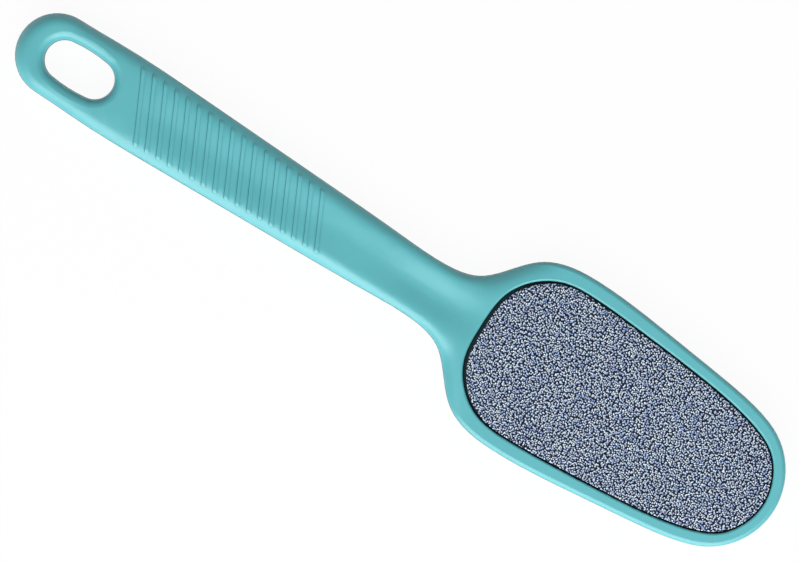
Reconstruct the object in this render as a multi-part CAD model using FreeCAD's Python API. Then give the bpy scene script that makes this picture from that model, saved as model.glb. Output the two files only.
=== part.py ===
import FreeCAD, Part
import bisect
import math
import os

os.makedirs("parts", exist_ok=True)

# A two-sided foot file: one moulded handle whose wide head carries a coarse and a fine file pad.
# All lengths are millimetres. X runs from the tail to the head, Y across, Z up out of the coarse face.
# The model is drawn about the middle plane of the handle and set down on its fine face at the end.

# Handle seen from above, over the parting bead
overall_length = 250.0
tail_half_width = 11.9
grip_half_width = 12.3
neck_half_width = 8.9
head_half_width = 27.95
neck_place = 131.3
head_place = 173.5

# Crest heights of the handle above its middle plane
tail_half_thickness = 3.8
grip_half_thickness = 4.08
head_half_thickness = 4.0
tail_rise_start = 10.0
tail_rise_end = 55.0
head_drop_start = 110.0
head_drop_end = 150.0

# Rounded flanks: the surface falls away inside a band along the outline
tail_flank_width = 3.6
grip_flank_width = 5.4
waist_flank_width = 4.5
neck_flank_width = 2.9
throat_flank_width = 3.2
flare_flank_width = 6.2
tail_flank_fall = 2.2
grip_flank_fall = 1.7
waist_flank_fall = 2.1
neck_flank_fall = 1.2
throat_flank_fall = 2.1
flare_flank_fall = 2.7
grip_flank_place = 45.0
waist_flank_place = 102.0
neck_flank_place = 133.0
throat_flank_place = 144.0
flare_flank_place = 149.5
flank_end = 164.0
rim_round = 1.3
parting_bead = 0.15

# Thumb channel that runs down both faces of the grip and neck
channel_start = 34.0
channel_run_in_end = 48.0
channel_dip_start = 120.0
channel_rise_start = 141.0
channel_end = 160.0
grip_channel_depth = 0.5
neck_channel_depth = 0.9
grip_channel_half_width = 7.2
neck_channel_half_width = 7.0
mouth_channel_half_width = 9.0

# Hanging slot in the tail, clear inside its own bead
slot_place = 19.3
slot_half_length = 10.6
slot_half_width = 6.0
slot_end_radius = 5.65
slot_round = 2.4
slot_dip_width = 4.6
slot_dip_fall = 0.55

# Slanted grip ribs: each has a steep tail flank and a gentler head flank
rib_count = 17
first_rib_place = 38.6
rib_pitch = 3.73
rib_slant = -0.49
rib_height = 0.2
rib_top_width = 1.0
rib_tail_flank = 0.3
rib_head_flank = 0.45
rib_foot_depth = 0.1
rib_end_inset = 1.9

# Recess for a file pad, one on each face of the head
recess_start = 152.85
recess_widest_place = 176.0
side_wall = 4.6
tip_wall = 3.6
lip_round = 0.6
web_thickness = 1.8

# File pad, from the web outwards
pad_clearance = 0.45
pad_heel_gap = 0.65
tape_margin = 1.5
tape_thickness = 0.25
carrier_thickness = 1.9
film_thickness = 0.12
backing_thickness = 0.45
grit_thickness = 0.7
grit_edge_round = 0.45

# One overrun serves all cuts, and one tolerance tells the edges that lie on an outline
overrun = 2.0
edge_tolerance = 0.015

# Outline of the handle as shares, from the tail arc to the neck
# first share: of the way along; second share: of the width between neck and grip
grip_side_shares = [(0.13, 1.00), (0.32, 0.90), (0.55, 0.62), (0.77, 0.345),
                    (0.89, 0.16), (1.00, 0.00)]

# From the neck to the widest place of the head: share of the way, share of the width gained
flare_side_shares = [(0.16, 0.020), (0.32, 0.125), (0.48, 0.468), (0.64, 0.818),
                     (0.80, 0.958), (1.00, 1.000)]

# From the widest place of the head to its tip: share of the way, share of the head's half width
head_side_shares = [(0.24, 0.962), (0.42, 0.906), (0.60, 0.848), (0.77, 0.763),
                    (0.86, 0.667), (0.945, 0.459), (1.00, 0.000)]

# Outline of the recess: share of the way, share of its half width, before and after its widest place
recess_near_shares = [(0.000, 0.000), (0.052, 0.470), (0.178, 0.686), (0.374, 0.863),
                      (0.570, 0.956), (1.000, 1.000)]
recess_far_shares = [(0.24, 0.960), (0.50, 0.892), (0.75, 0.775), (0.846, 0.686),
                     (0.91, 0.581), (0.97, 0.355), (1.00, 0.000)]

# Top line of a rib, from its middle to its end
# first share: of the way; second share: of the rib's height above the moulded face
rib_top_shares = [(0.00, 1.0), (0.30, 1.0), (0.58, 1.0), (0.79, 1.1), (0.91, 1.5), (1.00, -0.4)]

# How finely the crowned surface is laid out
lengthwise_rows = 140
crosswise_columns = 34
outline_samples = 900

vector = FreeCAD.Vector
up = vector(0, 0, 1)
along = vector(1, 0, 0)
across = vector(0, 1, 0)
web_half = web_thickness / 2
pad_height = tape_thickness + carrier_thickness + film_thickness + backing_thickness + grit_thickness
pad_face = web_half + pad_height
tallest = max(tail_half_thickness, grip_half_thickness, head_half_thickness, pad_face)
rest_height = max(grip_half_thickness + rib_height, pad_face)
recess_end = overall_length - tip_wall
recess_half_width = head_half_width - side_wall

# The roundings, held within the walls that carry them
tail_edge_height = tail_half_thickness - tail_flank_fall
head_edge_height = head_half_thickness - flare_flank_fall
rim_fit = min(rim_round, min(tail_edge_height, head_edge_height) - parting_bead)
slot_fit = min(slot_round, (tail_half_width - slot_half_width) / 2)
lip_fit = min(lip_round, side_wall / 2, tip_wall / 2)
grit_fit = min(grit_edge_round, grit_thickness / 2)


def ease(share):
    """A smooth step from 0 to 1."""
    held = min(max(share, 0), 1)
    return held * held * (3 - 2 * held)


def blend(position, places, values):
    """Ease from value to value as the position passes the places."""
    result = values[0]
    for start, end, low, high in zip(places, places[1:], values, values[1:]):
        if position > start:
            result = low + (high - low) * ease((position - start) / (end - start))
    return result


def both_sides(upper_points):
    """The points above the X axis, then their mirror images in turn back to the start."""
    lower_points = [vector(point.x, -point.y, 0) for point in reversed(upper_points) if point.y > 0]
    return upper_points + lower_points


def smooth_curve(points, start_tangent, end_tangent):
    """One smooth curve through the points, paced by the chords between them."""
    paces = [0]
    for before, after in zip(points, points[1:]):
        paces.append(paces[-1] + before.distanceToPoint(after))
    curve = Part.BSplineCurve()
    curve.interpolate(Points=points, Parameters=paces, InitialTangent=start_tangent,
                      FinalTangent=end_tangent, Scale=False)
    return curve.toShape()


def closed_wire(edges):
    """One closed wire from edges that meet end to end."""
    return Part.Wire(Part.__sortEdges__(edges))


def arc_about(centre, radius, start_turn, end_turn):
    """A circular arc between two turns, in radians from the X axis."""
    turns = [start_turn, (start_turn + end_turn) / 2, end_turn]
    points = [centre + vector(radius * math.cos(turn), radius * math.sin(turn), 0) for turn in turns]
    return Part.Arc(*points).toShape()


def handle_outline(inset=0):
    """The outline over the parting bead, or a line inside it by the inset all round."""
    points = [vector(tail_half_width, tail_half_width - inset, 0)]
    for share, wide in grip_side_shares:
        x = tail_half_width + share * (neck_place - tail_half_width)
        y = neck_half_width + wide * (grip_half_width - neck_half_width)
        points.append(vector(x, y - inset, 0))
    for share, wide in flare_side_shares:
        x = neck_place + share * (head_place - neck_place)
        y = neck_half_width + wide * (head_half_width - neck_half_width)
        points.append(vector(x, y - inset, 0))
    for share, wide in head_side_shares:
        x = head_place + share * (overall_length - inset - head_place)
        points.append(vector(x, wide * (head_half_width - inset), 0))
    sides = smooth_curve(both_sides(points), along, -along)
    centre = vector(tail_half_width, 0, 0)
    tail_arc = arc_about(centre, tail_half_width - inset, math.pi / 2, 3 * math.pi / 2)
    return closed_wire([tail_arc, sides])


def recess_outline(inset=0, heel_gap=0):
    """The recess's outline, or one inside it by the inset all round and by the heel gap at the neck end."""
    start = recess_start + inset + heel_gap
    end = recess_end - inset
    half_width = recess_half_width - inset
    points = []
    for share, wide in recess_near_shares:
        x = start + share * (recess_widest_place - start)
        points.append(vector(x, wide * half_width, 0))
    for share, wide in recess_far_shares:
        x = recess_widest_place + share * (end - recess_widest_place)
        points.append(vector(x, wide * half_width, 0))
    return closed_wire([smooth_curve(both_sides(points) + points[:1], across, across)])


def slot_outline(inset=0):
    """The hanging slot: an oval of two end arcs and two flatter side arcs, made smaller by the inset."""
    end_radius = slot_end_radius - inset
    half_width = slot_half_width - inset
    offset = slot_half_length - slot_end_radius
    side_drop = (offset * offset - (half_width - end_radius) ** 2) / (2 * (half_width - end_radius))
    side_radius = side_drop + half_width
    lean = math.atan2(side_drop, offset)
    centre = vector(slot_place, 0, 0)
    reach = vector(offset, 0, 0)
    far_end = arc_about(centre + reach, end_radius, -lean, lean)
    upper_side = arc_about(centre - across * side_drop, side_radius, lean, math.pi - lean)
    near_end = arc_about(centre - reach, end_radius, math.pi - lean, math.pi + lean)
    lower_side = arc_about(centre + across * side_drop, side_radius, math.pi + lean, 2 * math.pi - lean)
    return closed_wire([far_end, upper_side, near_end, lower_side])


def sample_outline():
    """Points along the upper half of the body's outline, from tail to tip, each place once."""
    points = [vector(parting_bead, 0, 0)]
    for edge in handle_outline(parting_bead).Edges:
        points += [point for point in edge.discretize(outline_samples) if point.y > 0]
    points.append(vector(overall_length - parting_bead, 0, 0))
    points.sort(key=lambda point: point.x)
    apart = points[:1]
    for point in points:
        if point.x - apart[-1].x > edge_tolerance / outline_samples:
            apart.append(point)
    return apart


outline_points = sample_outline()
outline_places = [point.x for point in outline_points]


def half_width_at(x):
    """The body's half width at a place along the handle."""
    after = bisect.bisect_left(outline_places, x)
    if after == 0 or after == len(outline_points):
        return 0
    before = after - 1
    share = (x - outline_places[before]) / (outline_places[after] - outline_places[before])
    return outline_points[before].y + share * (outline_points[after].y - outline_points[before].y)


def chord_distance(x, y, start, end):
    """Distance from a place to one short chord of the outline."""
    run = end.x - start.x
    climb = end.y - start.y
    share = ((x - start.x) * run + (y - start.y) * climb) / (run * run + climb * climb)
    held = min(max(share, 0), 1)
    return math.hypot(x - start.x - held * run, y - start.y - held * climb)


def edge_distance(x, y, band):
    """Distance inwards from the body's outline, negative outside it, exact within the band."""
    search = band + 2 * overrun
    first = max(bisect.bisect_left(outline_places, x - search) - 1, 0)
    last = bisect.bisect_right(outline_places, x + search) + 1
    nearby = outline_points[first:last]
    nearest = min(chord_distance(x, abs(y), start, end) for start, end in zip(nearby, nearby[1:]))
    return nearest if abs(y) < half_width_at(x) else -nearest


def crest_height(x):
    """Height of the handle's crest above the middle plane."""
    places = [tail_rise_start, tail_rise_end, head_drop_start, head_drop_end]
    heights = [tail_half_thickness, grip_half_thickness, grip_half_thickness, head_half_thickness]
    return blend(x, places, heights)


def flank_drop(x, y):
    """How far the surface has fallen in the band along the outline."""
    places = [slot_place, grip_flank_place, waist_flank_place, neck_flank_place]
    places += [throat_flank_place, flare_flank_place, flank_end]
    widths = [tail_flank_width, grip_flank_width, waist_flank_width, neck_flank_width]
    widths += [throat_flank_width, flare_flank_width, flare_flank_width]
    falls = [tail_flank_fall, grip_flank_fall, waist_flank_fall, neck_flank_fall]
    falls += [throat_flank_fall, flare_flank_fall, 0]
    band = blend(x, places, widths)
    inwards = edge_distance(x, y, band)
    if inwards >= band:
        return 0
    return blend(x, places, falls) * (1 - inwards / band) ** 3


def channel_drop(x, y):
    """Depth of the thumb channel."""
    places = [channel_start, channel_run_in_end, channel_dip_start]
    places += [neck_place, channel_rise_start, channel_end]
    depths = [0, grip_channel_depth, grip_channel_depth]
    depths += [neck_channel_depth, neck_channel_depth, 0]
    widths = [grip_channel_half_width, grip_channel_half_width, grip_channel_half_width]
    widths += [neck_channel_half_width, neck_channel_half_width, mouth_channel_half_width]
    half_width = blend(x, places, widths)
    if abs(y) >= half_width:
        return 0
    return blend(x, places, depths) * (1 + math.cos(math.pi * y / half_width)) / 2


def slot_dip(x, y):
    """How far the tail's end has fallen towards the slot."""
    reach = slot_half_length - slot_end_radius
    held = min(max(x, slot_place - reach), slot_place + reach)
    away = math.hypot(x - held, y) - slot_half_width
    if away >= slot_dip_width:
        return 0
    fall = blend(x, [slot_place - slot_half_length, slot_place], [slot_dip_fall, 0])
    return fall * (1 - away / slot_dip_width) ** 2


def surface_height(x, y):
    """Height of the moulded face before the ribs, slot and recess."""
    return crest_height(x) - flank_drop(x, y) - channel_drop(x, y) - slot_dip(x, y)


def crowned_face():
    """One smooth surface over the whole handle, laid out in rows that follow its width."""
    rows = []
    first = -overrun
    last = overall_length + overrun
    for row in range(lengthwise_rows):
        x = first + (last - first) * row / (lengthwise_rows - 1)
        held = min(max(x, tail_half_width), (recess_end + head_place) / 2)
        reach = half_width_at(held) + overrun
        column_points = []
        for column in range(crosswise_columns):
            y = reach * (2 * column / (crosswise_columns - 1) - 1)
            column_points.append(vector(x, y, surface_height(x, y)))
        rows.append(column_points)
    surface = Part.BSplineSurface()
    surface.buildFromPolesMultsKnots(rows, *clamped_knots(lengthwise_rows, crosswise_columns))
    return surface.toShape()


def clamped_knots(row_count, column_count, degree=3):
    """Multiplicities, knots and degrees of an evenly knotted surface."""
    mults = []
    knots = []
    for count in (row_count, column_count):
        spans = count - degree
        mults.append([degree + 1] + [1] * (spans - 1) + [degree + 1])
        knots.append([step / spans for step in range(spans + 1)])
    return mults[0], mults[1], knots[0], knots[1], False, False, degree, degree


def plate(wire, height, base=0):
    """A flat plate on the wire's outline."""
    solid = Part.Face(wire).extrude(up * height)
    solid.translate(up * base)
    return solid


def edges_at_top(solid, wire):
    """The solid's edges on the moulded face that lie above the wire's outline."""
    found = []
    for edge in solid.Edges:
        if edge.BoundBox.ZMin < web_half + parting_bead:
            continue
        middle = edge.valueAt((edge.FirstParameter + edge.LastParameter) / 2)
        foot = Part.Vertex(vector(middle.x, middle.y, 0))
        if wire.distToShape(foot)[0] < edge_tolerance:
            found.append(edge)
    return found


def rib_arm(place, lift, side):
    """A rib's top line from its middle to one end, lifted or sunk from the moulded face."""
    end_place = place + rib_slant * side * grip_half_width
    reach = side * (half_width_at(end_place) - rib_end_inset)
    points = []
    for way, rise in rib_top_shares:
        y = way * reach
        x = place + rib_slant * y
        points.append(vector(x, y, surface_height(x, y) + rise * rib_height + lift))
    return points


def rib_section(place, lift):
    """A slice through a rib, from its top line down to its root inside the handle."""
    left_arm = rib_arm(place, lift, -1)
    points = left_arm[::-1] + rib_arm(place, lift, 1)[1:]
    top = Part.BSplineCurve()
    top.interpolate(points)
    left = points[0]
    right = points[-1]
    root = [right, vector(right.x, right.y, web_half), vector(left.x, left.y, web_half), left]
    return Part.Wire([top.toShape()] + Part.makePolygon(root).Edges)


def rib(place):
    """One slanted rib, from the foot of its tail flank to the foot of its head flank."""
    foot = -(rib_height + rib_foot_depth)
    top_end = place + rib_tail_flank + rib_top_width
    sections = [
        rib_section(place, foot),
        rib_section(place + rib_tail_flank, 0),
        rib_section(top_end, 0),
        rib_section(top_end + rib_head_flank, foot),
    ]
    return Part.makeLoft(sections, True, True)


def half_handle():
    """The handle's upper half, from the middle plane to the coarse face."""
    outline = handle_outline(parting_bead)
    under_crown = crowned_face().extrude(up * -(tallest + overrun))
    body = plate(outline, tallest + overrun).common(under_crown)
    body = body.makeFillet(rim_fit, edges_at_top(body, outline))
    slot = slot_outline(-parting_bead)
    body = body.cut(plate(slot, tallest + overrun, -overrun))
    body = body.makeFillet(slot_fit, edges_at_top(body, slot))
    recess = recess_outline()
    body = body.cut(plate(recess, tallest, web_half))
    body = body.makeFillet(lip_fit, edges_at_top(body, recess))
    ribs = [rib(first_rib_place + number * rib_pitch) for number in range(rib_count)]
    bead = plate(handle_outline(), parting_bead).cut(plate(outline, tallest))
    slot_bead = plate(slot, parting_bead).cut(plate(slot_outline(), tallest))
    return body.fuse(ribs + [bead, slot_bead])


def make_handle_frame():
    """Both halves of the moulding, joined at the parting plane."""
    upper = half_handle()
    lower = upper.mirror(vector(0, 0, 0), up)
    return upper.fuse(lower)


def make_pad_layers():
    """The layers of one file pad, from the web outwards, by name."""
    outline = recess_outline(pad_clearance, pad_heel_gap)
    tape_outline = recess_outline(pad_clearance + tape_margin, pad_heel_gap)
    stack = [
        ("mounting_tape", tape_outline, tape_thickness),
        ("carrier_plate", outline, carrier_thickness),
        ("adhesive_film", outline, film_thickness),
        ("backing_sheet", outline, backing_thickness),
        ("grit_layer", outline, grit_thickness),
    ]
    layers = {}
    base = web_half
    for name, wire, thickness in stack:
        layers[name] = plate(wire, thickness, base)
        base += thickness
    grit = layers["grit_layer"]
    top_edges = [edge for edge in grit.Edges if edge.BoundBox.ZMin > pad_face - grit_thickness / 2]
    layers["grit_layer"] = grit.makeFillet(grit_fit, top_edges)
    return layers


def save(name, shape):
    """Set the piece down on the fine face, centred along the handle, and write its file."""
    shape.translate(vector(-overall_length / 2, 0, rest_height))
    shape.exportStep("parts/" + name + ".step")


save("handle_frame", make_handle_frame())
for name, layer in make_pad_layers().items():
    save("fine_" + name, layer.mirror(vector(0, 0, 0), up))
    save("coarse_" + name, layer)
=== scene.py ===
"""A two-sided foot file, lying on its fine pad, dressed and lit for a product picture."""

import logging
import math
from dataclasses import dataclass
from enum import Enum

import bpy
import numpy as np
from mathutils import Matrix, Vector


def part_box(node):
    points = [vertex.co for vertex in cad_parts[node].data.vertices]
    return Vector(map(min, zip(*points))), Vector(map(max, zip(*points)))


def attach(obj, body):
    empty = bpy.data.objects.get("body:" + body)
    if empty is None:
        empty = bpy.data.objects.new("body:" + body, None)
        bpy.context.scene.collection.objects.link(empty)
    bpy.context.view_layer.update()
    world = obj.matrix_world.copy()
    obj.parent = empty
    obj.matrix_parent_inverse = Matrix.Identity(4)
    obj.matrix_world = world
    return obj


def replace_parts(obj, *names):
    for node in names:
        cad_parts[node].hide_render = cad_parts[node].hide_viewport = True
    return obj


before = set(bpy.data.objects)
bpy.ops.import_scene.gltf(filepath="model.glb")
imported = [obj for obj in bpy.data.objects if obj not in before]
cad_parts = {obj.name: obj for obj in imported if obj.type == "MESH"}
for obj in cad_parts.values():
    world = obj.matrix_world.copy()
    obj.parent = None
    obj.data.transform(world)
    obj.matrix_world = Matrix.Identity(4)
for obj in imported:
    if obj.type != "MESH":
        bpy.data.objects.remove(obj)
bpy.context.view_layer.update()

MM = 0.001

# How many sectors an outline is read in
RIM_SECTORS = 360

Colour = tuple[float, float, float]
Point = tuple[float, float, float]
Range = tuple[float, float]

FULL: Range = (0.0, 1.0)

# The levels that most of a noise lies between
NOISE_SPREAD: Range = (0.3, 0.7)

log = logging.getLogger("foot_file")


class Pad(Enum):
    """The two abrasive faces."""

    COARSE = "coarse"
    FINE = "fine"


class Ray(Enum):
    """The kinds of ray that see the plain white background."""

    CAMERA = "Is Camera Ray"
    GLOSSY = "Is Glossy Ray"
    TRANSMISSION = "Is Transmission Ray"


# Node trees


class Graph:
    """A node tree that is being wired."""

    def __init__(self, tree: bpy.types.NodeTree) -> None:
        """Empties the tree.

        Args:
            tree: the tree of a material, a world or a group.
        """
        self.tree = tree
        tree.nodes.clear()

    def add(self, kind: str, **settings: object) -> bpy.types.Node:
        """Adds a node.

        Args:
            kind: the node's type name.
            settings: its properties.

        Returns:
            The new node.
        """
        node = self.tree.nodes.new(kind)
        for name, value in settings.items():
            setattr(node, name, value)
        return node

    def put(self, socket: bpy.types.NodeSocket, value: object) -> None:
        """Wires or sets one input.

        Args:
            socket: the input.
            value: a socket to link from, a colour, or a value to set.
        """
        if isinstance(value, bpy.types.NodeSocket):
            self.tree.links.new(value, socket)
        elif socket.type == "RGBA":
            socket.default_value = (*value, 1.0)
        else:
            socket.default_value = value

    def feed(self, node: bpy.types.Node, **values: object) -> None:
        """Wires or sets a node's inputs, named with _ for a space.

        Args:
            node: the node.
            values: what each input takes.
        """
        for name, value in values.items():
            self.put(node.inputs[name.replace("_", " ")], value)

    def math(self, operation: str, first: object, second: object = 0.0) -> bpy.types.NodeSocket:
        """Adds a Math node.

        Args:
            operation: what it does.
            first: its first input, a socket or a number.
            second: its second input, a socket or a number, where it takes two.

        Returns:
            The result's socket.
        """
        node = self.add("ShaderNodeMath", operation=operation)
        self.put(node.inputs[0], first)
        self.put(node.inputs[1], second)
        return node.outputs[0]

    def dot(self, vector: bpy.types.NodeSocket, direction: Point) -> bpy.types.NodeSocket:
        """Measures how far a vector reaches along a direction.

        Args:
            vector: the vector's socket.
            direction: the direction.

        Returns:
            The reach's socket.
        """
        node = self.add("ShaderNodeVectorMath", operation="DOT_PRODUCT")
        self.put(node.inputs[0], vector)
        self.put(node.inputs[1], direction)
        return node.outputs["Value"]

    def mix(self, share: bpy.types.NodeSocket, first: object, second: object) -> bpy.types.NodeSocket:
        """Mixes two colours.

        Args:
            share: how much of the second colour shows.
            first: a colour socket or a colour.
            second: a colour socket or a colour.

        Returns:
            The mixed colour's socket.
        """
        node = self.add("ShaderNodeMix", data_type="RGBA")
        colours = [socket for socket in node.inputs if socket.type == "RGBA"]
        self.put(node.inputs["Factor"], share)
        self.put(colours[0], first)
        self.put(colours[1], second)
        return next(socket for socket in node.outputs if socket.type == "RGBA")

    def ramp(self, mask: bpy.types.NodeSocket, *stops: tuple[float, Colour]) -> bpy.types.NodeSocket:
        """Turns a mask into colours.

        Args:
            mask: the mask's socket.
            stops: the place and the colour of its two stops, from low to high.

        Returns:
            The colour's socket.
        """
        node = self.add("ShaderNodeValToRGB")
        for element, (place, colour) in zip(node.color_ramp.elements, stops):
            element.position = place
            element.color = (*colour, 1.0)
        self.put(node.inputs["Fac"], mask)
        return node.outputs["Color"]

    def remap(
        self, value: bpy.types.NodeSocket, source: Range, target: Range = FULL
    ) -> bpy.types.NodeSocket:
        """Maps a value from one range to another, smoothly and within its ends.

        Args:
            value: the socket to map.
            source: the range to map from.
            target: the range to map to.

        Returns:
            The mapped value's socket.
        """
        node = self.add("ShaderNodeMapRange", interpolation_type="SMOOTHSTEP")
        names = ("From_Min", "From_Max", "To_Min", "To_Max")
        self.feed(node, Value=value, **dict(zip(names, source + target)))
        return node.outputs["Result"]

    def noise(self, scale: object, detail: float, **values: float) -> bpy.types.NodeSocket:
        """Adds a noise on Object coordinates.

        Args:
            scale: how fine it is, per metre.
            detail: how many finer layers it has.
            values: the node's other inputs.

        Returns:
            The noise's socket.
        """
        node = self.add("ShaderNodeTexNoise")
        self.feed(node, Vector=self.where(), Scale=scale, Detail=detail, **values)
        return node.outputs["Fac"]

    def where(self) -> bpy.types.NodeSocket:
        """Gives the Object coordinates."""
        return self.add("ShaderNodeTexCoord").outputs["Object"]

    def facing(self) -> bpy.types.NodeSocket:
        """Gives the surface's normal in the object's own directions."""
        return self.add("ShaderNodeTexCoord").outputs["Normal"]


class EffectGroup:
    """A shader node group that more than one finish uses."""

    def __init__(self, name: str, takes: dict[str, float], gives: dict[str, str]) -> None:
        """Makes the empty group with its sockets.

        Args:
            name: the group's name.
            takes: each numeric input and its usual value.
            gives: each output and its socket type.
        """
        self.tree = bpy.data.node_groups.new(name, "ShaderNodeTree")
        for label, usual in takes.items():
            socket = self.tree.interface.new_socket(label, in_out="INPUT", socket_type="NodeSocketFloat")
            socket.default_value = usual
        for label, kind in gives.items():
            self.tree.interface.new_socket(label, in_out="OUTPUT", socket_type=kind)
        self.graph = Graph(self.tree)
        self.ins = self.graph.add("NodeGroupInput").outputs
        self.outs = self.graph.add("NodeGroupOutput")

    def give(self, **results: bpy.types.NodeSocket) -> None:
        """Wires the group's outputs.

        Args:
            results: the socket that each output takes.
        """
        self.graph.feed(self.outs, **results)

    def place(self, graph: Graph, **values: float) -> bpy.types.NodeOutputs:
        """Places the group in a material.

        Args:
            graph: the material's graph.
            values: the group's input values there.

        Returns:
            The outputs of the placed group.
        """
        node = graph.add("ShaderNodeGroup", node_tree=self.tree)
        graph.feed(node, **values)
        return node.outputs


@dataclass
class Effects:
    """The shared effects: fine grain, worn edges, dust and painted shade in creases.

    Args:
        grain_detail: how many finer layers the grain has.
        grain_roughness: how strong these are.
        turn: how steep the surface is where wear begins and where it is full.
        wear_detail: how many finer layers the wear's patches have.
        patches: the noise levels that wear comes in between.
        dust_detail: how many finer layers the dust's clouds have.
        clouds: the noise levels that dust comes in between.
        crease_rays: how many rays feel for a fold, to find its painted shade.
        head_side: the direction in plan that the gentle flank of a rib faces.
        lean: how far along it the normal of the steep flank reaches, and that of the gentle one.
        lean_shade: the share of the painted shade in creases that these two get.
    """

    grain_detail: float = 3.0
    grain_roughness: float = 0.6
    turn: Range = (0.08, 0.45)
    wear_detail: float = 5.0
    patches: Range = (0.45, 0.68)
    dust_detail: float = 4.0
    clouds: Range = (0.35, 0.75)
    crease_rays: int = 16
    head_side: Point = (0.9, 0.44, 0.0)
    lean: Range = (-0.4, 0.4)
    lean_shade: Range = (1.0, 0.05)

    def __post_init__(self) -> None:
        """Builds each group once."""
        self.grain = self._grain()
        self.wear = self._wear()
        self.dust = self._dust()
        self.painted_crease_shade = self._painted_crease_shade()

    def _grain(self) -> EffectGroup:
        """A fine moulded or pressed texture.

        Returns:
            The group, with a mask and a normal.
        """
        takes = {"Scale": 1500.0, "Depth": 0.00001}
        gives = {"Mask": "NodeSocketFloat", "Normal": "NodeSocketVector"}
        group = EffectGroup("fine_grain", takes, gives)
        graph = group.graph
        noise = graph.noise(group.ins["Scale"], self.grain_detail, Roughness=self.grain_roughness)
        bump = graph.add("ShaderNodeBump")
        graph.feed(bump, Height=noise, Distance=group.ins["Depth"])
        group.give(Mask=noise, Normal=bump.outputs["Normal"])
        return group

    def _wear(self) -> EffectGroup:
        """Slight polish and paling where the surface turns over an edge.

        Returns:
            The group, with a mask.
        """
        group = EffectGroup("edge_wear", {"Scale": 260.0, "Amount": 1.0}, {"Mask": "NodeSocketFloat"})
        graph = group.graph
        axes = graph.add("ShaderNodeSeparateXYZ")
        graph.feed(axes, Vector=graph.facing())
        steep = graph.math("SUBTRACT", 1.0, graph.math("ABSOLUTE", axes.outputs["Z"]))
        turning = graph.remap(steep, self.turn)
        patches = graph.remap(graph.noise(group.ins["Scale"], self.wear_detail), self.patches)
        mask = graph.math("MULTIPLY", graph.math("MULTIPLY", turning, patches), group.ins["Amount"])
        group.give(Mask=mask)
        return group

    def _dust(self) -> EffectGroup:
        """Soft clouds of dust and handling.

        Returns:
            The group, with a mask.
        """
        group = EffectGroup("dust", {"Scale": 60.0, "Amount": 1.0}, {"Mask": "NodeSocketFloat"})
        graph = group.graph
        soft = graph.remap(graph.noise(group.ins["Scale"], self.dust_detail), self.clouds)
        group.give(Mask=graph.math("MULTIPLY", soft, group.ins["Amount"]))
        return group

    def _painted_crease_shade(self) -> EffectGroup:
        """Painted shade at the foot of a rib, deepest below its steep flank, from how hidden the surface
        is.

        Returns:
            The group, with a mask.
        """
        group = EffectGroup("painted_crease_shade", {"Reach": 0.0006, "Amount": 1.0}, {"Mask": "NodeSocketFloat"})
        graph = group.graph
        # Painted shade: the more its surroundings hide a point, the darker it is painted, most below a
        # rib's steep flank.
        openness = graph.add("ShaderNodeAmbientOcclusion", samples=self.crease_rays, only_local=True)
        graph.feed(openness, Distance=group.ins["Reach"])
        hidden = graph.math("SUBTRACT", 1.0, openness.outputs["AO"])
        leaning = graph.dot(graph.facing(), self.head_side)
        side = graph.remap(leaning, self.lean, self.lean_shade)
        mask = graph.math("MULTIPLY", graph.math("MULTIPLY", hidden, side), group.ins["Amount"])
        group.give(Mask=graph.math("MINIMUM", mask, 1.0))
        return group


def new_material(name: str) -> tuple[bpy.types.Material, Graph, bpy.types.Node]:
    """Starts a material.

    Args:
        name: its name.

    Returns:
        The material, its graph and its Principled shader, wired to the output.
    """
    material = bpy.data.materials.new(name)
    material.use_nodes = True
    graph = Graph(material.node_tree)
    shader = graph.add("ShaderNodeBsdfPrincipled")
    output = graph.add("ShaderNodeOutputMaterial")
    graph.feed(output, Surface=shader.outputs["BSDF"])
    return material, graph, shader


# Finishes


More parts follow.
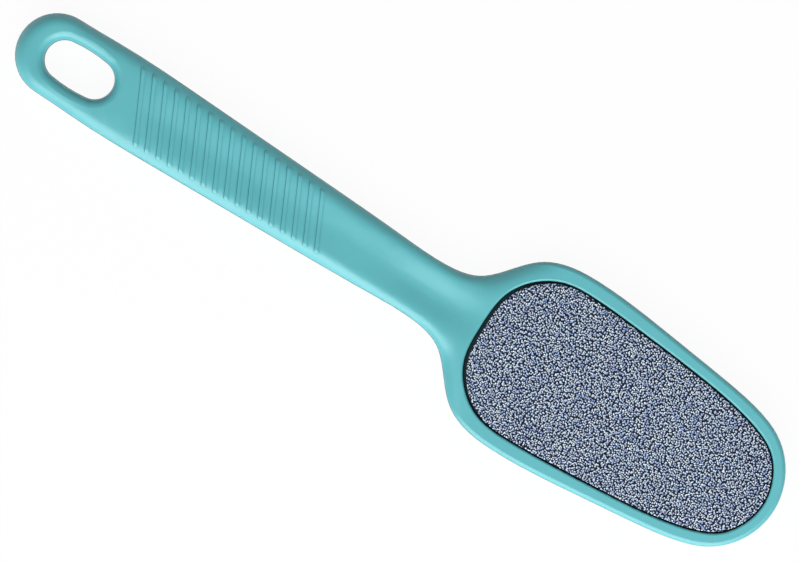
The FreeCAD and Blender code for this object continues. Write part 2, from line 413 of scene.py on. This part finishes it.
@dataclass(frozen=True)
class MouldedPlastic:
    """Satin injection-moulded plastic, coloured through.

    Args:
        name: the material's name.
        colour: its colour.
        shade: a slightly darker batch of it, in soft clouds.
        roughness: how matt the skin is.
        shine: the specular level.
        grain_scale: how fine the skin's grain is, per metre.
        grain_depth: how deep the grain is, in metres.
        speckle: how much the grain changes the roughness, down and up.
        cloud_scale: how fine the clouds are, per metre.
        cloudy: how strong they are.
        wear: how strong the worn edges are.
        paling: the factor that brightens a worn edge.
        bloom: the white that a worn edge gains.
        polish: how much smoother a worn edge is.
        painted_crease_shade: how dark the painted shade in the creases is.
        crease_shade_share: what is left of the darker batch in the painted shade of creases, channel by
            channel.
    """

    name: str
    colour: Colour
    shade: Colour
    roughness: float = 0.39
    shine: float = 0.88
    grain_scale: float = 1900.0
    grain_depth: float = 0.000012
    speckle: Range = (-0.03, 0.03)
    cloud_scale: float = 55.0
    cloudy: float = 0.8
    wear: float = 0.35
    paling: float = 1.12
    bloom: float = 0.03
    polish: float = 0.08
    painted_crease_shade: float = 5.6
    crease_shade_share: Colour = (0.0, 0.3, 0.36)

    def make(self, effects: Effects) -> bpy.types.Material:
        """Builds the material.

        Args:
            effects: the shared effects.

        Returns:
            The material.
        """
        material, graph, shader = new_material(self.name)
        grain = effects.grain.place(graph, Scale=self.grain_scale, Depth=self.grain_depth)
        wear = effects.wear.place(graph, Amount=self.wear)["Mask"]
        clouds = effects.dust.place(graph, Scale=self.cloud_scale, Amount=self.cloudy)["Mask"]
        painted_crease_shade = effects.painted_crease_shade.place(graph, Amount=self.painted_crease_shade)["Mask"]
        pale = tuple(min(1.0, channel * self.paling + self.bloom) for channel in self.colour)
        # Painted shade: creases and rib feet are mixed towards this deep teal.
        deep = tuple(channel * share for channel, share in zip(self.shade, self.crease_shade_share))
        body = graph.mix(clouds, self.colour, self.shade)
        body = graph.mix(wear, body, pale)
        body = graph.mix(painted_crease_shade, body, deep)
        speck = graph.remap(grain["Mask"], NOISE_SPREAD, self.speckle)
        rough = graph.math("ADD", graph.math("MULTIPLY", wear, -self.polish), self.roughness)
        rough = graph.math("ADD", rough, speck)
        graph.feed(shader, Base_Color=body, Normal=grain["Normal"], Roughness=rough)
        graph.feed(shader, Specular_IOR_Level=self.shine)
        return material


@dataclass(frozen=True)
class AbrasiveGrain:
    """Blue-grey grain bonded in a dark size coat.

    Args:
        name: the material's name.
        cells: how many grains there are per metre.
        valley: the bond's colour, seen between the grains.
        low: the foot of a grain.
        middle: the dullest grain.
        tip: a broken crystal face that catches the light.
        edge: where the crystal gives way to its foot, in cell widths from its middle.
        foot: where the foot has its own colour.
        bottom: where the bond shows.
        facets: how many facets there are to a grain.
        facet_depth: how deep they are, in metres.
        stain_scale: how fine the stains are, per metre.
        stain: how strong they are.
        lots: the range of lots that the gloss follows.
        gloss: the roughness of the first lot and of the last.
        shine: the specular level.
    """

    name: str
    cells: float
    valley: Colour = (0.001, 0.003, 0.014)
    low: Colour = (0.010, 0.020, 0.080)
    middle: Colour = (0.26, 0.37, 0.68)
    tip: Colour = (0.88, 1.0, 1.0)
    edge: Range = (0.315, 0.395)
    foot: float = 0.38
    bottom: float = 0.55
    facets: float = 4.0
    facet_depth: float = 0.00003
    stain_scale: float = 140.0
    stain: float = 0.05
    lots: Range = (0.1, 0.95)
    gloss: Range = (0.78, 0.3)
    shine: float = 0.2

    def make(self, effects: Effects) -> bpy.types.Material:
        """Builds the material.

        Args:
            effects: the shared effects.

        Returns:
            The material.
        """
        material, graph, shader = new_material(self.name)
        cell = graph.add("ShaderNodeTexVoronoi", feature="F1", voronoi_dimensions="2D")
        graph.feed(cell, Vector=graph.where(), Scale=self.cells, Randomness=1.0)
        away = cell.outputs["Distance"]
        lot = graph.add("ShaderNodeSeparateColor")
        graph.feed(lot, Color=cell.outputs["Color"])
        crystal = graph.mix(lot.outputs["Red"], self.middle, self.tip)
        gap = graph.ramp(away, (self.foot, self.low), (self.bottom, self.valley))
        colour = graph.mix(graph.remap(away, self.edge), crystal, gap)
        stain = effects.dust.place(graph, Scale=self.stain_scale, Amount=self.stain)["Mask"]
        colour = graph.mix(stain, colour, self.low)
        grain = effects.grain.place(graph, Scale=self.cells * self.facets, Depth=self.facet_depth)
        rough = graph.remap(lot.outputs["Green"], self.lots, self.gloss)
        graph.feed(shader, Base_Color=colour, Normal=grain["Normal"], Roughness=rough)
        graph.feed(shader, Specular_IOR_Level=self.shine)
        return material


@dataclass(frozen=True)
class PressedSheet:
    """Waterproof backing paper with a felted surface.

    Args:
        name: the material's name.
        colour: its colour.
        fibre: the colour of its fibres.
        grain_scale: how fine the felt is, per metre.
        grain_depth: how deep it is, in metres.
        felt: the noise levels that the fibres come in between.
        dust_scale: how fine the dust is, per metre.
        dusty: how strong it is.
        gloss: the roughness of the paper and of its fibres.
    """

    name: str
    colour: Colour
    fibre: Colour
    grain_scale: float = 2600.0
    grain_depth: float = 0.00003
    felt: Range = (0.35, 0.65)
    dust_scale: float = 300.0
    dusty: float = 0.5
    gloss: Range = (0.75, 0.95)

    def make(self, effects: Effects) -> bpy.types.Material:
        """Builds the material.

        Args:
            effects: the shared effects.

        Returns:
            The material.
        """
        material, graph, shader = new_material(self.name)
        grain = effects.grain.place(graph, Scale=self.grain_scale, Depth=self.grain_depth)
        dust = effects.dust.place(graph, Scale=self.dust_scale, Amount=self.dusty)["Mask"]
        body = graph.mix(graph.remap(grain["Mask"], self.felt), self.colour, self.fibre)
        body = graph.mix(dust, body, self.fibre)
        rough = graph.remap(grain["Mask"], NOISE_SPREAD, self.gloss)
        graph.feed(shader, Base_Color=body, Normal=grain["Normal"], Roughness=rough)
        return material


@dataclass(frozen=True)
class BondLayer:
    """Clear-to-milky acrylic adhesive, with faint bubbles.

    Args:
        name: the material's name.
        colour: its colour.
        bubble: the colour of a trapped bubble.
        bubbles: how many bubbles there are per metre.
        skin: where a bubble's colour fades, in cell widths from its middle.
        grain_scale: how fine the surface's grain is, per metre.
        grain_depth: how deep it is, in metres.
        gloss: the least and the most roughness.
    """

    name: str
    colour: Colour
    bubble: Colour
    bubbles: float = 420.0
    skin: Range = (0.12, 0.2)
    grain_scale: float = 900.0
    grain_depth: float = 0.00002
    gloss: Range = (0.22, 0.4)

    def make(self, effects: Effects) -> bpy.types.Material:
        """Builds the material.

        Args:
            effects: the shared effects.

        Returns:
            The material.
        """
        material, graph, shader = new_material(self.name)
        spots = graph.add("ShaderNodeTexVoronoi", feature="F1")
        graph.feed(spots, Vector=graph.where(), Scale=self.bubbles)
        body = graph.mix(graph.remap(spots.outputs["Distance"], self.skin), self.bubble, self.colour)
        grain = effects.grain.place(graph, Scale=self.grain_scale, Depth=self.grain_depth)
        rough = graph.remap(grain["Mask"], NOISE_SPREAD, self.gloss)
        graph.feed(shader, Base_Color=body, Normal=grain["Normal"], Roughness=rough)
        return material


# Modelling helpers


def deselect_all() -> None:
    """Leaves nothing selected and nothing active."""
    for each in bpy.context.selected_objects:
        each.select_set(False)
    bpy.context.view_layer.objects.active = None


def read_points(mesh: bpy.types.Mesh) -> np.ndarray:
    """Reads a mesh's points.

    Args:
        mesh: the mesh.

    Returns:
        One row of X, Y and Z for each point.
    """
    points = np.zeros(len(mesh.vertices) * 3)
    mesh.vertices.foreach_get("co", points)
    return points.reshape(-1, 3)


def read_faces(mesh: bpy.types.Mesh, field: str) -> np.ndarray:
    """Reads one vector of each face.

    Args:
        mesh: the mesh.
        field: the vector's name, center or normal.

    Returns:
        One row of X, Y and Z for each face.
    """
    values = np.zeros(len(mesh.polygons) * 3)
    mesh.polygons.foreach_get(field, values)
    return values.reshape(-1, 3)


def write_points(mesh: bpy.types.Mesh, points: np.ndarray) -> None:
    """Moves a mesh's points.

    Args:
        mesh: the mesh.
        points: one row of X, Y and Z for each point.
    """
    mesh.vertices.foreach_set("co", points.ravel())
    mesh.update()


def dress(piece: bpy.types.Object, *materials: bpy.types.Material) -> None:
    """Gives a piece its materials, in place of what it has.

    Args:
        piece: the piece.
        materials: its materials, the first of them on every face.
    """
    piece.data.materials.clear()
    for material in materials:
        piece.data.materials.append(material)


class Rim:
    """The outline of a flat piece, as a closed polygon in plan."""

    def __init__(self, node: str) -> None:
        """Reads the outline of a CAD node where it is widest.

        Args:
            node: the node's name.
        """
        points = read_points(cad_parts[node].data)
        centre = (points.max(0) + points.min(0)) / 2
        plan = points[:, :2]
        angles = np.arctan2(plan[:, 1] - centre[1], plan[:, 0] - centre[0])
        reach = np.hypot(plan[:, 0] - centre[0], plan[:, 1] - centre[1])
        order = np.argsort(angles)
        sectors = np.floor((angles[order] + math.pi) / math.tau * RIM_SECTORS).astype(int)
        corners = []
        for sector in np.unique(sectors):
            members = order[sectors == sector]
            corners.append(plan[members[np.argmax(reach[members])]])
        self.corners = np.array(corners)

    def nearest(self, plan: np.ndarray) -> tuple[np.ndarray, np.ndarray]:
        """Finds the nearest place on the outline.

        Args:
            plan: one row of X and Y for each point.

        Returns:
            The nearest places, and the distances, which are below zero outside.
        """
        best = np.full(len(plan), np.inf)
        place = np.zeros_like(plan)
        inside = np.zeros(len(plan), bool)
        for start, end in zip(self.corners, np.roll(self.corners, -1, 0)):
            along = end - start
            share = np.clip(((plan - start) @ along) / (along @ along), 0, 1)
            foot = start + share[:, None] * along
            gap = np.hypot(*(plan - foot).T)
            closer = gap < best
            best[closer] = gap[closer]
            place[closer] = foot[closer]
            crosses = (start[1] > plan[:, 1]) != (end[1] > plan[:, 1])
            if along[1]:
                inside ^= crosses & (plan[:, 0] < start[0] + along[0] * (plan[:, 1] - start[1]) / along[1])
        return place, np.where(inside, best, -best)


# Sub-assemblies


@dataclass
class GritField:
    """The bonded grain of one pad, modelled grain by grain.

    Args:
        pad: which face it is on.
        finish: its finish.
        pitch: how far apart the grains are.
        relief: how far the valleys lie below the tips.
        roll: how wide the turned-down edge is.
        fall: how far the edge turns down.
        turn_share: how much of a quarter turn the edge makes.
        deep_power: how rare the deep grains are, as a power of chance.
        stray_share: how far a grain strays from its place, as a share of the pitch.
        seed: the number that sets the grains' heights and places.
    """

    pad: Pad
    finish: AbrasiveGrain
    pitch: float
    relief: float
    roll: float = 0.4 * MM
    fall: float = 0.15 * MM
    turn_share: float = 0.999
    deep_power: float = 1.4
    stray_share: float = 0.36
    seed: int = 11

    def build(self) -> bpy.types.Object:
        """Models the field and stands it in for the plain layer.

        Returns:
            The finished piece.
        """
        node = f"{self.pad.value}_grit_layer"
        low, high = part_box(node)
        rim = Rim(node)
        outer, inner = (high.z, low.z) if self.pad is Pad.COARSE else (low.z, high.z)
        piece = self._trimmed_grid(rim, low, high, outer)
        self._close_down_to(piece, inner)
        self._raise_grains(piece, rim, outer, inner)
        piece.name = f"{self.pad.value}_grit_field"
        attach(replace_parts(piece, node), "root")
        return piece

    def _trimmed_grid(self, rim: Rim, low: Vector, high: Vector, level: float) -> bpy.types.Object:
        """Lays a fine grid and trims it to the pad's outline.

        Args:
            rim: the pad's outline.
            low: the pad's lowest corner.
            high: the pad's highest corner.
            level: the height of the grid.

        Returns:
            The flat trimmed sheet.
        """
        deselect_all()
        length, width = high.x - low.x, high.y - low.y
        bpy.ops.mesh.primitive_grid_add(
            x_subdivisions=round(length / self.pitch),
            y_subdivisions=round(width / self.pitch),
            size=1.0,
            location=((low.x + high.x) / 2, (low.y + high.y) / 2, level),
        )
        piece = bpy.context.object
        piece.scale = (length, width, 1.0)
        bpy.ops.object.transform_apply(location=True, rotation=True, scale=True)
        mesh = piece.data
        outside = rim.nearest(read_faces(mesh, "center")[:, :2])[1] < 0
        bpy.context.tool_settings.mesh_select_mode = (False, False, True)
        mesh.polygons.foreach_set("select", outside)
        bpy.ops.object.mode_set(mode="EDIT")
        bpy.ops.mesh.delete(type="FACE")
        bpy.context.tool_settings.mesh_select_mode = (True, False, False)
        bpy.ops.mesh.select_all(action="SELECT")
        bpy.ops.mesh.region_to_loop()
        bpy.ops.object.mode_set(mode="OBJECT")
        edge = np.zeros(len(mesh.vertices), bool)
        mesh.vertices.foreach_get("select", edge)
        points = read_points(mesh)
        points[edge, :2] = rim.nearest(points[edge, :2])[0]
        write_points(mesh, points)
        return piece

    def _close_down_to(self, piece: bpy.types.Object, level: float) -> None:
        """Draws the sheet's border down to the pad's back and closes it.

        Args:
            piece: the flat sheet.
            level: the height of the pad's back.
        """
        drop = level - piece.data.vertices[0].co.z
        bpy.ops.object.mode_set(mode="EDIT")
        bpy.context.tool_settings.mesh_select_mode = (False, True, False)
        bpy.ops.mesh.select_all(action="SELECT")
        bpy.ops.mesh.region_to_loop()
        bpy.ops.mesh.extrude_region_move(TRANSFORM_OT_translate={"value": (0.0, 0.0, drop)})
        bpy.ops.mesh.edge_face_add()
        bpy.ops.mesh.select_all(action="SELECT")
        bpy.ops.mesh.normals_make_consistent(inside=False)
        bpy.ops.object.mode_set(mode="OBJECT")

    def _raise_grains(self, piece: bpy.types.Object, rim: Rim, outer: float, inner: float) -> None:
        """Turns the edge down and gives each grain its own height and place.

        Args:
            piece: the closed slab.
            rim: the pad's outline.
            outer: the height of the grain tips.
            inner: the height of the pad's back.
        """
        points = read_points(piece.data)
        face = np.abs(points[:, 2] - outer) < abs(outer - inner) / 2
        gap = np.maximum(rim.nearest(points[face, :2])[1], 0.0)
        chance = np.random.default_rng(self.seed)
        count = int(face.sum())
        short = np.clip(1.0 - gap / self.roll, 0.0, self.turn_share)
        turned = self.fall * (1.0 - np.sqrt(1.0 - short**2))
        depth = turned + self.relief * chance.random(count) ** self.deep_power
        shift = np.where(gap > self.pitch, self.stray_share * self.pitch, 0.0)
        points[face, 0] += shift * chance.uniform(-1, 1, count)
        points[face, 1] += shift * chance.uniform(-1, 1, count)
        points[face, 2] = outer + math.copysign(1.0, inner - outer) * depth
        write_points(piece.data, points)

    def dress(self, piece: bpy.types.Object, effects: Effects) -> None:
        """Gives the field its finish."""
        dress(piece, self.finish.make(effects))


@dataclass
class AbrasivePad:
    """One bonded pad: plate, tape, film and backing from the frame, under modelled grain.

    Args:
        grit: its field of grain.
        layers: the finished material of each hidden layer, by the layer's name.
    """

    grit: GritField
    layers: dict[str, bpy.types.Material]

    def build(self, effects: Effects) -> None:
        """Builds and dresses the whole pad.

        Args:
            effects: the shared effects.
        """
        piece = self.grit.build()
        self.grit.dress(piece, effects)
        log.info("%s: %d faces", piece.name, len(piece.data.polygons))
        self.dress_layers()

    def dress_layers(self) -> None:
        """Gives the pad's hidden layers their finishes."""
        for part, material in self.layers.items():
            name = f"{self.grit.pad.value}_{part}"
            dress(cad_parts[name], material)
            log.info("%s: %s", name, material.name)


@dataclass
class Handle:
    """The one-piece handle moulding, carried over from the frame.

    Args:
        finish: the moulding's finish.
        recess: the finish of the recess walls and the web, a dark teal of painted shade.
        reach: how far outside the pads the recess walls stand at most.
        steep: the steepest upward share of a wall's normal.
    """

    finish: MouldedPlastic
    recess: MouldedPlastic
    reach: float = 1.35 * MM
    steep: float = 0.35

    def dress(self, effects: Effects) -> None:
        """Gives the moulding its finish, and the recesses their painted shade.

        Args:
            effects: the shared effects.
        """
        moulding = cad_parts["handle_frame"]
        # Painted shade: the recess walls and the web take a dark teal standing in for the shade in the gap
        # round each pad.
        dress(moulding, self.finish.make(effects), self.recess.make(effects))
        marked = self._recess_faces(moulding.data)
        moulding.data.polygons.foreach_set("material_index", marked.astype(np.int32))
        log.info("handle_frame: %s, %d recess faces", self.finish.name, int(marked.sum()))

    def _recess_faces(self, mesh: bpy.types.Mesh) -> np.ndarray:
        """Finds the faces of the recess walls and of the web.

        Args:
            mesh: the moulding's mesh.

        Returns:
            A mark for each face.
        """
        centres, normals = read_faces(mesh, "center"), read_faces(mesh, "normal")
        inside = Rim("coarse_carrier_plate").nearest(centres[:, :2])[1] > -self.reach
        return inside & ((np.abs(normals[:, 2]) < self.steep) | self._on_web(centres[:, 2]))

    def _on_web(self, heights: np.ndarray) -> np.ndarray:
        """Tells which heights lie between the two mounting tapes."""
        low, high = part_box("fine_mounting_tape")[0].z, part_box("coarse_mounting_tape")[1].z
        return (heights > low) & (heights < high)


@dataclass
class Studio:
    """The pale floor, the soft light and the camera that looks straight down.

    Args:
        roll: how far the picture is turned, in degrees.
        middle: the place on the tool that the picture is centred on.
        width: how much the picture takes in from side to side.
        lens: the lens, in millimetres.
        sensor: the sensor's width, in millimetres.
        far: how far the camera sees.
        fill: the strength of the soft light from all round.
        fill_lean: how much stronger it is on the window's side, as a share.
        fill_bearing: where the window's side is, in degrees from the tool's axis.
        key: the strength of the soft lamp beside the handle, in watts.
        key_height: how high the lamp stands, in degrees.
        key_bearing: where it stands, in degrees from the tool's axis.
        key_distance: how far away it stands.
        key_width: how wide the lamp is.
        key_depth: how deep the lamp is, from its lower to its upper edge.
        white: the background's colour.
        floor_size: how wide the floor is.
        floor_colour: the floor's own colour, which takes the shadow.
        floor_glow: the share of plain white that the floor shows in place of it.
    """

    roll: float = 32.45
    middle: Point = (1.72 * MM, -1.95 * MM, 4.3 * MM)
    width: float = 223.9 * MM
    lens: float = 250.0
    sensor: float = 36.0
    far: float = 20.0
    fill: float = 0.28
    fill_lean: float = 0.8
    fill_bearing: float = -35.0
    key: float = 14.8
    key_height: float = 38.0
    key_bearing: float = -70.0
    key_distance: float = 0.9
    key_width: float = 1.35
    key_depth: float = 1.15
    white: Colour = (1.0, 1.0, 1.0)
    floor_size: float = 6.0
    floor_colour: Colour = (0.92, 0.92, 0.92)
    floor_glow: float = 0.95

    def build(self) -> None:
        """Sets the stage."""
        self._camera()
        self._world()
        self._key_lamp()
        self._floor()
        bpy.context.scene.view_settings.view_transform = "Standard"

    def _camera(self) -> None:
        """Stands the camera over the tool."""
        lens = bpy.data.cameras.new("camera")
        lens.lens = self.lens
        lens.sensor_width = self.sensor
        lens.clip_end = self.far
        camera = bpy.data.objects.new("camera", lens)
        distance = self.width * self.lens / self.sensor
        camera.location = (self.middle[0], self.middle[1], self.middle[2] + distance)
        camera.rotation_euler = (0.0, 0.0, math.radians(self.roll))
        bpy.context.scene.collection.objects.link(camera)
        bpy.context.scene.camera = camera

    def _seen_white(self, graph: Graph) -> bpy.types.NodeSocket:
        """Finds the rays that see the background.

        Args:
            graph: the material's or the world's graph.

        Returns:
            A mask that is 1 for those rays.
        """
        path = graph.add("ShaderNodeLightPath")
        mask: object = 0.0
        for ray in Ray:
            mask = graph.math("MAXIMUM", path.outputs[ray.value], mask)
        return mask

    def _world(self) -> None:
        """Fills the shadows and keeps the background white."""
        world = bpy.data.worlds.new("studio")
        world.use_nodes = True
        bpy.context.scene.world = world
        graph = Graph(world.node_tree)
        bearing = math.radians(self.fill_bearing)
        outward = graph.add("ShaderNodeTexCoord").outputs["Generated"]
        facing = graph.dot(outward, (math.cos(bearing), math.sin(bearing), 0.0))
        lean = graph.math("MULTIPLY", facing, self.fill * self.fill_lean)
        strength = graph.math("MAXIMUM", self._seen_white(graph), graph.math("ADD", lean, self.fill))
        light = graph.add("ShaderNodeBackground")
        graph.feed(light, Color=self.white, Strength=strength)
        output = graph.add("ShaderNodeOutputWorld")
        graph.feed(output, Surface=light.outputs["Background"])

    def _key_lamp(self) -> None:
        """Hangs one large soft lamp low beside the handle."""
        lamp = bpy.data.lights.new("soft_lamp", "AREA")
        lamp.shape = "RECTANGLE"
        lamp.size = self.key_width
        lamp.size_y = self.key_depth
        lamp.energy = self.key
        stand = bpy.data.objects.new("soft_lamp", lamp)
        height, bearing = math.radians(self.key_height), math.radians(self.key_bearing)
        stand.location = (
            self.key_distance * math.cos(height) * math.cos(bearing),
            self.key_distance * math.cos(height) * math.sin(bearing),
            self.key_distance * math.sin(height),
        )
        stand.rotation_euler = stand.location.to_track_quat("Z", "Y").to_euler()
        bpy.context.scene.collection.objects.link(stand)

    def _floor(self) -> None:
        """Lays a pale floor under the tool, which keeps its shadow."""
        deselect_all()
        bpy.ops.mesh.primitive_plane_add(size=self.floor_size, location=(0.0, 0.0, 0.0))
        floor = bpy.context.object
        floor.name = "floor"
        material = bpy.data.materials.new("pale_floor")
        material.use_nodes = True
        graph = Graph(material.node_tree)
        matt = graph.add("ShaderNodeBsdfDiffuse")
        graph.feed(matt, Color=self.floor_colour)
        glow = graph.add("ShaderNodeEmission")
        graph.feed(glow, Color=self.white)
        blend = graph.add("ShaderNodeMixShader")
        share = graph.math("MULTIPLY", self._seen_white(graph), self.floor_glow)
        for socket, source in zip(blend.inputs, (share, matt.outputs["BSDF"], glow.outputs["Emission"])):
            graph.put(socket, source)
        output = graph.add("ShaderNodeOutputMaterial")
        graph.feed(output, Surface=blend.outputs["Shader"])
        dress(floor, material)


def hidden_layers(effects: Effects) -> dict[str, bpy.types.Material]:
    """Makes the materials of the layers under the grain, which both pads share.

    Args:
        effects: the shared effects.

    Returns:
        The material of each layer, by the layer's name.
    """
    plate = MouldedPlastic("black_plate", (0.012, 0.018, 0.022), (0.018, 0.024, 0.028), roughness=0.5)
    sheet = PressedSheet("backing_paper", (0.035, 0.042, 0.058), (0.060, 0.070, 0.092))
    bond = BondLayer("acrylic_bond", (0.115, 0.108, 0.092), (0.17, 0.165, 0.15)).make(effects)
    return {
        "carrier_plate": plate.make(effects),
        "backing_sheet": sheet.make(effects),
        "adhesive_film": bond,
        "mounting_tape": bond,
    }


def main() -> None:
    """Builds the stage, the handle and the two pads."""
    logging.basicConfig(level=logging.INFO, format="%(message)s")
    effects = Effects()
    teal = MouldedPlastic("teal_moulding", (0.081, 0.440, 0.482), (0.073, 0.415, 0.458))
    # Painted shade for the recess walls and the web, darker than the moulding.
    recess_shade = MouldedPlastic(
        "painted_recess_shade", (0.010, 0.075, 0.088), (0.006, 0.042, 0.050), roughness=0.55, shine=0.3,
    )
    Studio().build()
    Handle(teal, recess_shade).dress(effects)
    coarse = AbrasiveGrain("coarse_grain", cells=1780.0)
    fine = AbrasiveGrain("fine_grain_coat", cells=2700.0)
    layers = hidden_layers(effects)
    fields = (
        GritField(Pad.COARSE, coarse, pitch=0.25 * MM, relief=0.2 * MM),
        GritField(Pad.FINE, fine, pitch=0.33 * MM, relief=0.13 * MM, seed=23),
    )
    for field in fields:
        AbrasivePad(field, layers).build(effects)


if __name__ == "__main__":
    main()
